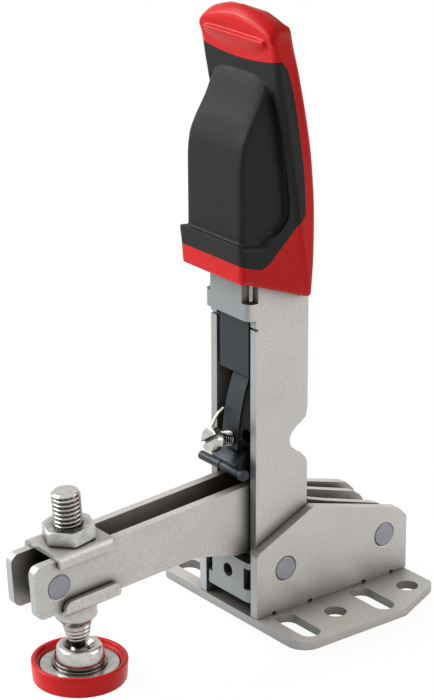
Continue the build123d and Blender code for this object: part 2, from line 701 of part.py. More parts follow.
with BuildPart() as lower_saddle:
    low = -ARM_DEPTH_DOWN - SADDLE
    side = CRADLE_SIDE + SADDLE
    with BuildSketch(across(CRADLE_FRONT)):
        with BuildLine():
            inner = CRADLE_R - SADDLE
            floor = -ARM_DEPTH_DOWN - 0.05
            FilletPolyline(
                (-side, CRADLE_LIP), (-side, low), (side, low), (side, CRADLE_LIP), radius=CRADLE_R
            )
            Line((side, CRADLE_LIP), (CRADLE_SIDE, CRADLE_LIP))
            FilletPolyline(
                (CRADLE_SIDE, CRADLE_LIP),
                (CRADLE_SIDE, floor),
                (-CRADLE_SIDE, floor),
                (-CRADLE_SIDE, CRADLE_LIP),
                radius=inner,
            )
            Line((-CRADLE_SIDE, CRADLE_LIP), (-side, CRADLE_LIP))
        make_face()
    extrude(amount=CRADLE_REAR - CRADLE_FRONT)
    with BuildSketch(station):
        Circle(SPINDLE_R + 0.3)
    extrude(amount=low - 1, mode=Mode.SUBTRACT)

with BuildPart() as top_nut:
    nut_low = ARM_DEPTH_UP + SADDLE
    with BuildSketch(station.offset(nut_low)):
        Circle(NUT_FACE_R)
    extrude(amount=NUT_FACE)
    with BuildSketch(station.offset(nut_low + NUT_FACE)):
        RegularPolygon(radius=NUT_AF / 2, side_count=6, major_radius=False, rotation=8)
    extrude(amount=NUT_HIGH - NUT_FACE)
    with BuildSketch(across(0)):
        with BuildLine():
            crown = nut_low + NUT_HIGH
            corner = NUT_AF / sqrt(3)
            drop = (corner - NUT_AF / 2 * 0.98) * 0.5
            Polyline(
                (0, nut_low - 1),
                (corner + 1, nut_low - 1),
                (corner + 1, crown - drop - 0.5),
                (NUT_AF / 2 * 0.98, crown),
                (0, crown),
                close=True,
            )
        make_face()
    revolve(axis=Axis(station.origin, station.z_dir), mode=Mode.INTERSECT)
    with BuildSketch(station):
        Circle(SPINDLE_R + PIVOT_FIT)
    extrude(amount=nut_low + NUT_HIGH + 1, mode=Mode.SUBTRACT)

with BuildPart() as collar_nut:
    collar_top = -ARM_DEPTH_DOWN - SADDLE
    with BuildSketch(across(0)):
        with BuildLine():
            collar_low = collar_top - COLLAR_HIGH
            Polyline(
                (SPINDLE_R + PIVOT_FIT, collar_top),
                (COLLAR_R, collar_top),
                (COLLAR_R, collar_low + COLLAR_CHAMFER),
                (COLLAR_R - COLLAR_CHAMFER, collar_low),
                (SPINDLE_R + PIVOT_FIT, collar_low),
                close=True,
            )
        make_face()
    revolve(axis=Axis(station.origin, station.z_dir))

# ================================================================ spindle and foot
ball_h = (BALL_Z - STATION[1]) / cos(slope)
ball_x = STATION[0] - ball_h * sin(slope)
with BuildPart() as spindle:
    with BuildSketch(across(0)):
        with BuildLine():
            Polyline(
                (0, ball_h),
                (0, SPINDLE_TOP),
                (SPINDLE_R - 0.8, SPINDLE_TOP),
                (SPINDLE_R, SPINDLE_TOP - 0.8),
                (SPINDLE_R, SPINDLE_END),
                (NECK_R + 0.6, SPINDLE_END - 2.6),
                (NECK_R, ball_h + BALL_R + 1.6),
                (NECK_R, ball_h),
                close=True,
            )
        make_face()
    revolve(axis=Axis(station.origin, station.z_dir))
    with Locations((ball_x, 0, BALL_Z)):
        Sphere(BALL_R)

upright = Plane(origin=(ball_x, 0, 0), x_dir=(1, 0, 0), z_dir=(0, -1, 0))
foot_axis = Axis((ball_x, 0, 0), (0, 0, 1))
with BuildPart() as foot_socket:
    with BuildSketch(upright):
        with BuildLine():
            Polyline(
                (0, FOOT_DISC_LOW),
                (FOOT_DISC_R, FOOT_DISC_LOW),
                (FOOT_DISC_R, FOOT_DISC_TOP),
                (FOOT_FLARE_R + 1.6, FOOT_DISC_TOP + 0.5),
                (FOOT_FLARE_R, FOOT_DISC_TOP + 1.3),
                (FOOT_NECK_R, FOOT_TOP - 2.2),
                (FOOT_NECK_R, FOOT_TOP - 0.6),
                (FOOT_NECK_R - 0.6, FOOT_TOP),
                (0, FOOT_TOP),
                close=True,
            )
        make_face()
    revolve(axis=foot_axis)
    with Locations((ball_x, 0, BALL_Z)):
        Sphere(BALL_R + BALL_CLEAR, mode=Mode.SUBTRACT)
        Cylinder(FOOT_MOUTH_R, FOOT_TOP, align=(Align.CENTER, Align.CENTER, Align.MIN), mode=Mode.SUBTRACT)

with BuildPart() as foot_cap:
    with BuildSketch(upright):
        with BuildLine():
            Polyline(
                (0, CAP_BOTTOM),
                (CAP_LOW_R - 0.8, CAP_BOTTOM),
                (CAP_LOW_R, CAP_BOTTOM + 0.8),
                (CAP_R, CAP_RIM - 0.5),
                (CAP_R - 0.5, CAP_RIM),
                (CAP_LIP_R, CAP_RIM),
                (CAP_LIP_R, FOOT_DISC_TOP),
                (FOOT_DISC_R + PRESS_FIT, FOOT_DISC_TOP),
                (FOOT_DISC_R + PRESS_FIT, FOOT_DISC_LOW - PRESS_FIT),
                (0, FOOT_DISC_LOW - PRESS_FIT),
                close=True,
            )
        make_face()
    revolve(axis=foot_axis)

# ================================================================ export
pieces = {
    "base_plate": base_plate.part,
    "side_plate_near": side_plate_near,
    "side_plate_far": side_plate_far,
    "front_rivet": front_rivet,
    "rear_rivet": rear_rivet,
    "lever_spacer": lever_spacer,
    "arm_plate_near": arm_plate_near,
    "arm_plate_far": arm_plate_far,
    "arm_bush": arm_bush,
    "arm_washer_near": arm_washer_near,
    "arm_washer_far": arm_washer_far,
    "tip_rivet": tip_rivet,
    "tip_spacer": tip_spacer,
    "link_pin": link_pin,
    "lever_channel": lever_channel.part,
    "grip_shell": grip_shell.part,
    "grip_insert": grip_insert.part,
    "grip_pin": grip_pin,
    "link_plate": link_plate.part,
    "link_block": link_block.part,
    "upper_pin": upper_pin,
    "adjuster_leaf": adjuster_leaf.part,
    "pin_carrier": pin_carrier.part,
    "cross_pin": cross_pin,
    "adjuster_spring": adjuster_spring.part,
    "adjusting_screw": adjusting_screw.part,
    "upper_saddle": upper_saddle.part,
    "lower_saddle": lower_saddle.part,
    "top_nut": top_nut.part,
    "collar_nut": collar_nut.part,
    "spindle": spindle.part,
    "foot_socket": foot_socket.part,
    "foot_cap": foot_cap.part,
}
for name, piece in pieces.items():
    piece.label = name
    export_step(piece, f"parts/{name}.step")
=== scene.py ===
"""Finish and stage for a vertical toggle clamp: materials, rounded edges, threads and moulded grip."""

import math

import bmesh
import bpy
from bpy.props import FloatProperty, FloatVectorProperty, IntProperty, PointerProperty
from mathutils import Matrix, Vector


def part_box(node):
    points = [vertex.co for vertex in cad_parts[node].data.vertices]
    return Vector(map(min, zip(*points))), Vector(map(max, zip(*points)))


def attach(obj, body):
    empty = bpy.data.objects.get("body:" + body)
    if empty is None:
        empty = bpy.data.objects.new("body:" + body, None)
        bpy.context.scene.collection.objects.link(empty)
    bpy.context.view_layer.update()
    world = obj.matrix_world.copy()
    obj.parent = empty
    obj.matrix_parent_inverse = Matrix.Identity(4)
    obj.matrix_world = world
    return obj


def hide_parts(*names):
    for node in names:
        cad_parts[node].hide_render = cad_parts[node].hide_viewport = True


bl_info = {
    "name": "Toggle Clamp Dresser",
    "version": (1, 0, 0),
    "blender": (4, 5, 0),
    "location": "View3D > Sidebar > Clamp",
    "description": "Gives each piece of a vertical toggle clamp its finish, edges and fine detail",
    "category": "Object",
}

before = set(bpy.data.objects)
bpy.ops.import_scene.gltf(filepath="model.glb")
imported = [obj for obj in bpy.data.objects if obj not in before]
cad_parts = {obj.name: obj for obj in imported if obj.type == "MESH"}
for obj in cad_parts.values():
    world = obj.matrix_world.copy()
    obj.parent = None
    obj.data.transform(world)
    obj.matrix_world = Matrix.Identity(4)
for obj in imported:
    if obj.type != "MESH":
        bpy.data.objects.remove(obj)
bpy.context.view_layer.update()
MM = 0.001


# ---------------------------------------------------------------- small tools
def srgb(red, green, blue):
    """A colour as seen on a screen, 0 to 255, as the linear values Blender uses."""
    def one(value):
        value = value / 255
        return value / 12.92 if value <= 0.04045 else ((value + 0.055) / 1.055) ** 2.4
    return one(red), one(green), one(blue)


def node_box(node):
    """A node's lowest and highest corner in millimetres."""
    low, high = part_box(node)
    return low / MM, high / MM


def new_object(name, mesh):
    """A linked object for a mesh."""
    piece = bpy.data.objects.new(name, mesh)
    bpy.context.scene.collection.objects.link(piece)
    return piece


def mesh_piece(name, points, faces):
    """A piece from points in millimetres."""
    mesh = bpy.data.meshes.new(name)
    mesh.from_pydata([Vector(p) * MM for p in points], [], faces)
    mesh.validate()
    form = bmesh.new()
    form.from_mesh(mesh)
    bmesh.ops.recalc_face_normals(form, faces=form.faces)
    form.to_mesh(mesh)
    form.free()
    return new_object(name, mesh)


def settle(piece):
    """Applies a piece's modifiers."""
    graph = bpy.context.evaluated_depsgraph_get()
    old = piece.data
    piece.data = bpy.data.meshes.new_from_object(piece.evaluated_get(graph))
    piece.data.name = piece.name
    piece.modifiers.clear()
    bpy.data.meshes.remove(old)


def smooth(piece, angle=35.0):
    """Smooth shading that keeps real edges crisp."""
    piece.data.polygons.foreach_set("use_smooth", [True] * len(piece.data.polygons))
    piece.data.set_sharp_from_angle(angle=math.radians(angle))


def place(piece, body, slot, material, *nodes):
    """Gives a piece its finish, lets it ride its body and stand for its nodes."""
    piece.data.materials.clear()
    piece.data.materials.append(material)
    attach(piece, body)
    if nodes:
        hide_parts(*nodes)
    return piece


def edged(node, body, slot, material, edge=0.2, segments=2, trim=None):
    """A sheet or turned piece, trimmed if asked, with its sharp edges broken by a small round."""
    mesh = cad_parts[node].data.copy()
    form = bmesh.new()
    form.from_mesh(mesh)
    bmesh.ops.remove_doubles(form, verts=form.verts, dist=0.002 * MM)
    bmesh.ops.dissolve_limit(form, angle_limit=math.radians(0.6), verts=form.verts, edges=form.edges)
    form.to_mesh(mesh)
    form.free()
    piece = new_object("dressed_" + node, mesh)
    if trim:
        trim(piece)
        mesh = piece.data
    for layer in list(mesh.attributes):
        if layer.name in ("custom_normal", "sharp_edge", "sharp_face"):
            mesh.attributes.remove(layer)
    round_edges = piece.modifiers.new("edges", "BEVEL")
    round_edges.width = edge * MM
    round_edges.segments = segments
    round_edges.limit_method = "ANGLE"
    round_edges.angle_limit = math.radians(38)
    round_edges.use_clamp_overlap = True
    settle(piece)
    smooth(piece, 30)
    keep_flat = piece.modifiers.new("flats", "WEIGHTED_NORMAL")
    keep_flat.keep_sharp = True
    settle(piece)
    return place(piece, body, slot, material, node)


def cut(piece, tool, how="DIFFERENCE", keep=False):
    """A boolean of two meshes, applied; the tool goes unless kept."""
    change = piece.modifiers.new("cut", "BOOLEAN")
    change.object = tool
    change.operation = how
    change.solver = "EXACT"
    settle(piece)
    if not keep:
        bpy.data.objects.remove(tool)


def block(name, low, high):
    """A box between two corners in millimetres, used as a cutting tool."""
    points = [(x, y, z) for x in (low[0], high[0]) for y in (low[1], high[1]) for z in (low[2], high[2])]
    return mesh_piece(
        name, points, [(0, 1, 3, 2), (4, 6, 7, 5), (0, 4, 5, 1), (2, 3, 7, 6), (0, 2, 6, 4), (1, 5, 7, 3)]
    )


def curve(points, steps=6):
    """A smooth line of (x, y) points through the given ones."""
    points = [Vector(point) for point in points]
    line = [points[0]]
    padded = [points[0] * 2 - points[1], *points, points[-1] * 2 - points[-2]]
    for a, b, c, d in zip(padded, padded[1:], padded[2:], padded[3:]):
        for step in range(1, steps + 1):
            t = step / steps
            line.append(
                0.5 * (
                    2 * b + (c - a) * t + (
                        2 * a - 5 * b + 4 * c - d
                    ) * t ** 2 + (3 * b - a - 3 * c + d) * t ** 3
                )
            )
    return [tuple(point) for point in line]


def level(marks, place):
    """A value read off (place, value) marks, straight between them."""
    for (low, first), (high, last) in zip(marks, marks[1:]):
        if place <= high:
            return first + (last - first) * max(0, place - low) / (high - low)
    return marks[-1][1]


def axis_frame(origin, direction):
    """A matrix whose Z runs along direction, in metres."""
    turn = Vector(direction).normalized().to_track_quat("Z", "Y").to_matrix().to_4x4()
    return Matrix.Translation(Vector(origin) * MM) @ turn


def turned(name, outline, origin, direction, around=96):
    """A lathe-turned piece; the outline is (radius, height) in millimetres, closed on the axis."""
    points, faces = [], []
    count = len(outline)
    for step in range(around):
        angle = 2 * math.pi * step / around
        for radius, height in outline:
            points.append((radius * math.cos(angle), radius * math.sin(angle), height))
    for step in range(around):
        after = (step + 1) % around
        for row in range(count - 1):
            faces.append(
                (step * count + row, after * count + row, after * count + row + 1, step * count + row + 1)
            )
    piece = mesh_piece(name, points, faces)
    form = bmesh.new()
    form.from_mesh(piece.data)
    bmesh.ops.remove_doubles(form, verts=form.verts, dist=0.001 * MM)
    bmesh.ops.recalc_face_normals(form, faces=form.faces)
    form.to_mesh(piece.data)
    form.free()
    piece.data.transform(axis_frame(origin, direction))
    smooth(piece, 30)
    return piece


def softened(outline, radius, steps=4):
    """An outline of (x, y) points with its inner corners rounded; the two ends stay."""
    result = [outline[0]]
    for before, corner, after in zip(outline, outline[1:], outline[2:]):
        corner_v = Vector(corner)
        to_before = Vector(before) - corner_v
        to_after = Vector(after) - corner_v
        reach = min(radius, to_before.length * 0.45, to_after.length * 0.45)
        start = corner_v + to_before.normalized() * reach
        end = corner_v + to_after.normalized() * reach
        for step in range(steps + 1):
            t = step / steps
            point = start * (1 - t) ** 2 + corner_v * 2 * t * (1 - t) + end * t ** 2
            result.append((point.x, point.y))
    result.append(outline[-1])
    return result


def rivet(node, body, pin, head, half, place_at):
    """A headed rivet along Y whose heads stand in their countersinks behind a thin gap."""
    line = [
        (0, -half - 0.1),
        (head - 0.55, -half - 0.1),
        (head - 0.3, half * -1 + 0.12),
        (head - 0.32, 0.7 - half),
    ]
    line += [(pin, 1.3 - half)]
    line += [(radius, -height) for radius, height in reversed(line)]
    x, z = place_at
    piece = turned(node + "_turned", line, (x, 0, z), (0, 1, 0), 72)
    return place(piece, body, "rivet_steel", finish("rivet steel"), node)


def thread(
    name, major, minor, pitch, low, high, origin, direction, around=56, rows=10, run_out=0.9, taper=None
):
    """A helical thread between two heights with tapered run-outs; taper gives its size along the height."""
    count = max(2, int((high - low) / pitch * rows)) + 1
    points, faces = [], []
    for row in range(count):
        height = low + (high - low) * row / (count - 1)
        fade = min(1.0, (high - height) / run_out, (height - low) / run_out)
        for step in range(around):
            turn = step / around
            phase = (height / pitch - turn) % 1.0
            rise = 1 - abs(phase * 2 - 1)
            crest = min(1.0, max(0.0, (rise - 0.12) / 0.70))
            radius = minor + (major - minor) * crest
            radius = minor * (1 - fade) + radius * fade
            radius *= taper(height) if taper else 1
            angle = 2 * math.pi * turn
            points.append((radius * math.cos(angle), radius * math.sin(angle), height))
    for row in range(count - 1):
        for step in range(around):
            after = (step + 1) % around
            faces.append(
                (
                    row * around + step,
                    row * around + after,
                    (row + 1) * around + after,
                    (row + 1) * around + step,
                )
            )
    faces.append(tuple(reversed(range(around))))
    faces.append(tuple((count - 1) * around + step for step in range(around)))
    piece = mesh_piece(name, points, faces)
    piece.data.transform(axis_frame(origin, direction))
    smooth(piece, 50)
    return piece


def joined(name, *pieces):
    """Several meshes as one piece."""
    form = bmesh.new()
    for piece in pieces:
        form.from_mesh(piece.data)
    mesh = bpy.data.meshes.new(name)
    form.to_mesh(mesh)
    form.free()
    for piece in pieces:
        old = piece.data
        bpy.data.objects.remove(piece)
        bpy.data.meshes.remove(old)
    return new_object(name, mesh)


# ---------------------------------------------------------------- finishes
def finish_nodes(name, colour, metallic, roughness):
    """A material with its shader and an object-space texture coordinate."""
    material = bpy.data.materials.new(name)
    material.use_nodes = True
    tree = material.node_tree
    shader = tree.nodes["Principled BSDF"]
    shader.inputs["Base Color"].default_value = (*colour, 1)
    shader.inputs["Metallic"].default_value = metallic
    shader.inputs["Roughness"].default_value = roughness
    place_on = tree.nodes.new("ShaderNodeTexCoord")
    return material, tree, shader, place_on.outputs["Object"]


def noise(tree, where, size_mm, detail=3.0, rough=0.55):
    """A noise whose features are about size_mm across."""
    grain = tree.nodes.new("ShaderNodeTexNoise")
    grain.inputs["Scale"].default_value = 1000.0 / size_mm
    grain.inputs["Detail"].default_value = detail
    grain.inputs["Roughness"].default_value = rough
    tree.links.new(where, grain.inputs["Vector"])
    return grain.outputs["Fac"]


def spread(tree, source, low, high, from_low=0.3, from_high=0.7):
    """Maps a noise onto a range of values."""
    ramp = tree.nodes.new("ShaderNodeMapRange")
    ramp.inputs["From Min"].default_value = from_low
    ramp.inputs["From Max"].default_value = from_high
    ramp.inputs["To Min"].default_value = low
    ramp.inputs["To Max"].default_value = high
    tree.links.new(source, ramp.inputs["Value"])
    return ramp.outputs["Result"]


def blend_colour(tree, factor, first, second):
    """Mixes two colours, or a colour onto a socket, by a factor."""
    mix = tree.nodes.new("ShaderNodeMix")
    mix.data_type = "RGBA"
    tree.links.new(factor, mix.inputs["Factor"])
    for source, socket in ((first, mix.inputs["A"]), (second, mix.inputs["B"])):
        if isinstance(source, tuple):
            socket.default_value = (*source, 1)
        else:
            tree.links.new(source, socket)
    return mix.outputs["Result"]


def bumped(tree, shader, height, depth_mm, strength=1.0):
    """Turns a height into relief on the shader's normal."""
    bump = tree.nodes.new("ShaderNodeBump")
    bump.inputs["Strength"].default_value = strength
    bump.inputs["Distance"].default_value = depth_mm * MM
    tree.links.new(height, bump.inputs["Height"])
    tree.links.new(bump.outputs["Normal"], shader.inputs["Normal"])


def x_face_reflection_mask(tree):
    """1 on faces that point along the piece's own X, such as a plate's ends, 0 on faces across it: the mask
    of a painted reflection.
    """
    shape = tree.nodes.new("ShaderNodeTexCoord")
    split = tree.nodes.new("ShaderNodeSeparateXYZ")
    tree.links.new(shape.outputs["Normal"], split.inputs[0])
    return spread(tree, maths(tree, "ABSOLUTE", split.outputs["X"]), 0.0, 0.7, 0.6, 0.95)


def maths(tree, how, first, second=None):
    """One arithmetic step on sockets or numbers."""
    node = tree.nodes.new("ShaderNodeMath")
    node.operation = how
    for source, socket in zip((first, second), node.inputs):
        if isinstance(source, (int, float)):
            socket.default_value = source
        elif source is not None:
            tree.links.new(source, socket)
    return node.outputs[0]


def shade_occlusion(tree, reach_mm):
    """1 in the open, falling to 0 deep between close surfaces; it masks the painted shade in gaps and
    recesses.
    """
    shade = tree.nodes.new("ShaderNodeAmbientOcclusion")
    shade.samples = 6
    shade.inputs["Distance"].default_value = reach_mm * MM
    return shade.outputs["AO"]


def grained_metal(
    name,
    colour,
    metallic=0.6,
    roughness=0.4,
    grain=0.5,
    depth=0.02,
    # colour of the painted shade in narrow gaps
    sheet_gap_shade=(62, 50, 34),
    web=None,
    x_face_reflection=None,
):
    """Plated steel with a blasted grain and faint clouding, with painted brown shade in narrow gaps, painted
    shade on the lever's web front and a painted reflection tint on faces that point along X.
    """
    material, tree, shader, where = finish_nodes(name, colour, metallic, roughness)
    cloudy = spread(tree, noise(tree, where, 14.0, 2), 0.96, 1.03)
    speck = spread(tree, noise(tree, where, grain, 2), 0.86, 1.12)
    gain = maths(tree, "MULTIPLY", cloudy, speck)
    # Painted shade: the lever's web front, in front of x = -27 mm, takes the darker web colour.
    if web:
        depth_x = tree.nodes.new("ShaderNodeSeparateXYZ")
        tree.links.new(where, depth_x.inputs[0])
        front = spread(tree, depth_x.outputs["X"], 1.0, 0.0, -0.0272, -0.0266)
        face = blend_colour(tree, front, colour, web)
    else:
        face = colour
    tinted = tree.nodes.new("ShaderNodeVectorMath")
    tinted.operation = "SCALE"
    if isinstance(face, tuple):
        tinted.inputs[0].default_value = face
    else:
        tree.links.new(face, tinted.inputs[0])
    tree.links.new(gain, tinted.inputs["Scale"])
    # Painted shade: where close surfaces occlude, the colour turns to the brown gap colour.
    unshaded_share = spread(tree, shade_occlusion(tree, 14.0), 0.0, 1.0, 0.27, 0.92)
    # Painted reflection: faces that point along the piece's X take a bluer, darker tone.
    x_face_reflected = blend_colour(tree, x_face_reflection_mask(tree), tinted.outputs["Vector"], x_face_reflection or colour)
    tree.links.new(blend_colour(tree, unshaded_share, srgb(*sheet_gap_shade), x_face_reflected), shader.inputs["Base Color"])
    tree.links.new(
        spread(
            tree, noise(tree, where, grain * 3, 2), roughness - 0.05, roughness + 0.06
        ), shader.inputs["Roughness"]
    )
    bumped(tree, shader, noise(tree, where, grain, 2), depth)
    return material


def moulded_plastic(name, colour, roughness=0.42, grain=0.45, depth=0.02, gloss=0.2):
    """Spark-textured moulded plastic with one even gloss."""
    material, tree, shader, where = finish_nodes(name, colour, 0.0, roughness)
    drift = spread(tree, noise(tree, where, 12.0, 2), 0.95, 1.04)
    speck = spread(tree, noise(tree, where, grain, 2), 0.93, 1.07)
    tinted = tree.nodes.new("ShaderNodeVectorMath")
    tinted.operation = "SCALE"
    tinted.inputs[0].default_value = colour
    tree.links.new(maths(tree, "MULTIPLY", drift, speck), tinted.inputs["Scale"])
    tree.links.new(tinted.outputs["Vector"], shader.inputs["Base Color"])
    tree.links.new(
        spread(
            tree, noise(tree, where, 1.5, 2), roughness - 0.04, roughness + 0.05
        ), shader.inputs["Roughness"]
    )
    shader.inputs["Specular IOR Level"].default_value = gloss
    bumped(tree, shader, noise(tree, where, grain, 2), depth)
    return material


def bright_metal(name, colour, roughness=0.2, grain=0.25, depth=0.004, dark=(56, 42, 34)):
    """Bright zinc plate, clouded, with painted brown shade in its narrow gaps."""
    material, tree, shader, where = finish_nodes(name, colour, 1.0, roughness)
    cloud = spread(tree, noise(tree, where, 2.2, 3), 0.72, 1.08)
    # Painted shade: the ambient occlusion turns the zinc towards dark brown in threads and narrow gaps.
    light = maths(tree, "MULTIPLY", cloud, spread(tree, shade_occlusion(tree, 4.0), 0.0, 1.0, 0.38, 0.96))
    light = spread(tree, light, 0.0, 1.0, 0.0, 1.0)
    tree.links.new(blend_colour(tree, light, srgb(*dark), colour), shader.inputs["Base Color"])
    tree.links.new(
        spread(
            tree, noise(tree, where, 1.2, 3), roughness - 0.05, roughness + 0.10
        ), shader.inputs["Roughness"]
    )
    bumped(tree, shader, noise(tree, where, grain, 3), depth)
    return material


FINISHES = {}


def finish(name):
    """A finish by name, made from the sidebar's colours the first time it is asked for."""
    if name in FINISHES:
        return FINISHES[name]
    tone = bpy.context.scene.clamp_finish
    made = {
        "satin sheet": lambda: grained_metal("satin sheet", tuple(tone.sheet), x_face_reflection=tuple(tone.edge)),
        # The lever sheet paints shade on its web front and on its faces that point along X.
        "lever sheet": lambda: grained_metal(
            "lever sheet", tuple(tone.sheet), web=tuple(tone.web), x_face_reflection=tuple(tone.web)
        ),
        "rivet steel": lambda: grained_metal(
            "rivet steel", tuple(tone.rivet), roughness=0.36, grain=0.3, depth=0.01
        ),
        "bright zinc": lambda: bright_metal("bright zinc", tuple(tone.zinc)),
        "nut zinc": lambda: bright_metal("nut zinc", tuple(tone.zinc), roughness=0.28),
        "black oxide": lambda: grained_metal(
            "black oxide", tuple(tone.oxide), metallic=0.35, roughness=0.42,
            # near-black painted shade in the narrow gaps
            grain=0.4, depth=0.01, sheet_gap_shade=(8, 8, 8)
        ),
        "spring wire": lambda: grained_metal(
            "spring wire", tuple(tone.wire), roughness=0.3, grain=0.3, depth=0.004
        ),
        "grip red": lambda: moulded_plastic("grip red", tuple(tone.red), roughness=0.33, gloss=0.15),
        "grip black": lambda: moulded_plastic("grip black", tuple(tone.black), roughness=0.5, gloss=0.12),
        "cap red": lambda: moulded_plastic(
            "cap red", tuple(tone.cap), roughness=0.3, grain=0.6, depth=0.006, gloss=0.2
        ),
    }
    FINISHES[name] = made[name]()
    return FINISHES[name]


# ---------------------------------------------------------------- settings
class ClampFinish(bpy.types.PropertyGroup):
    """Colours of the clamp's finishes."""

    sheet: FloatVectorProperty(
        name="Sheet metal", description="Satin nickel plate", subtype="COLOR", default=srgb(
            203, 200, 196
        ), min=0, max=1
    )
    # Painted reflection: the bluer tone of faces that point along X, such as plate ends.
    edge: FloatVectorProperty(
        name="Sheared edges", description="Cut edges of the sheet", subtype="COLOR", default=srgb(
            172, 180, 184
        ), min=0, max=1
    )
    # Painted shade: the darker colour of the lever's web front.
    web: FloatVectorProperty(
        name="Web front", description="Front face of the lever", subtype="COLOR", default=srgb(
            146, 152, 153
        ), min=0, max=1
    )
    rivet: FloatVectorProperty(
        name="Rivets", description="Plain turned steel", subtype="COLOR", default=srgb(
            152, 152, 160
        ), min=0, max=1
    )
    zinc: FloatVectorProperty(
        name="Bright zinc", description="Spindle, nuts and foot", subtype="COLOR", default=srgb(
            198, 197, 192
        ), min=0, max=1
    )
    oxide: FloatVectorProperty(
        name="Black oxide", description="Link, leaf and guide block",
        subtype="COLOR", default=srgb(33, 43, 50), min=0, max=1
    )
    wire: FloatVectorProperty(
        name="Spring wire", description="Yellow passivated wire", subtype="COLOR", default=srgb(
            238, 231, 205
        ), min=0, max=1
    )
    red: FloatVectorProperty(
        name="Grip red", description="Hard part of the grip",
        subtype="COLOR", default=srgb(205, 24, 24), min=0, max=1
    )
    black: FloatVectorProperty(
        name="Grip black", description="Soft part of the grip",
        subtype="COLOR", default=srgb(37, 38, 38), min=0, max=1
    )
    cap: FloatVectorProperty(
        name="Foot cap red", description="Pressure cap",
        subtype="COLOR", default=srgb(214, 22, 24), min=0, max=1
    )


class ClampSizes(bpy.types.PropertyGroup):
    """Sizes of the fine detail, in millimetres."""

    sheet_edge: FloatProperty(
        name="Sheet edge", description="Round on stamped edges", default=0.28, min=0.05, max=0.6
    )
    turned_edge: FloatProperty(
        name="Turned edge", description="Round on rivets and pins", default=0.18, min=0.05, max=0.5
    )
    spindle_pitch: FloatProperty(
        name="Spindle pitch", description="Thread pitch of the spindle", default=1.25, min=0.5, max=2
    )
    screw_pitch: FloatProperty(
        name="Screw pitch", description="Thread pitch of the adjusting screw", default=0.8, min=0.3, max=1
    )
    grip_voxel: FloatProperty(
        name="Grip detail", description="Cell size of the moulded grip", default=0.36, min=0.3, max=2
    )
    grip_smooth: IntProperty(
        name="Grip rounding", description="Smoothing passes on the moulded grip", default=7, min=0, max=40
    )


class ClampStage(bpy.types.PropertyGroup):
    """Light and camera of the stage."""

    ambient: FloatProperty(
        name="Ambient", description="Strength of the surrounding light", default=0.24, min=0, max=2
    )
    key: FloatProperty(
        name="Key lamp", description="Power of the front-left lamp", subtype="POWER", default=4.3, min=0
    )
    fill: FloatProperty(
        name="Fill lamp", description="Power of the right-hand lamp", subtype="POWER", default=2.3, min=0
    )
    back: FloatProperty(
        name="Back lamp", description="Power of the high back lamp", subtype="POWER", default=5.5, min=0
    )
    lens: FloatProperty(
        name="Lens",
        description="Focal length",
        subtype="DISTANCE_CAMERA",
        default=138.70,
        min=20,
        max=400,
    )
    azimuth: FloatProperty(name="Azimuth", description="Camera turn, degrees", default=37.747)
    elevation: FloatProperty(name="Elevation", description="Camera height, degrees", default=20.882)
    roll: FloatProperty(name="Roll", description="Camera roll, degrees", default=-0.216)
    camera_place: FloatVectorProperty(
        name="Camera place", description="Camera position", subtype="XYZ", default=(
            -0.44867, -0.53979, 0.34035
        )
    )


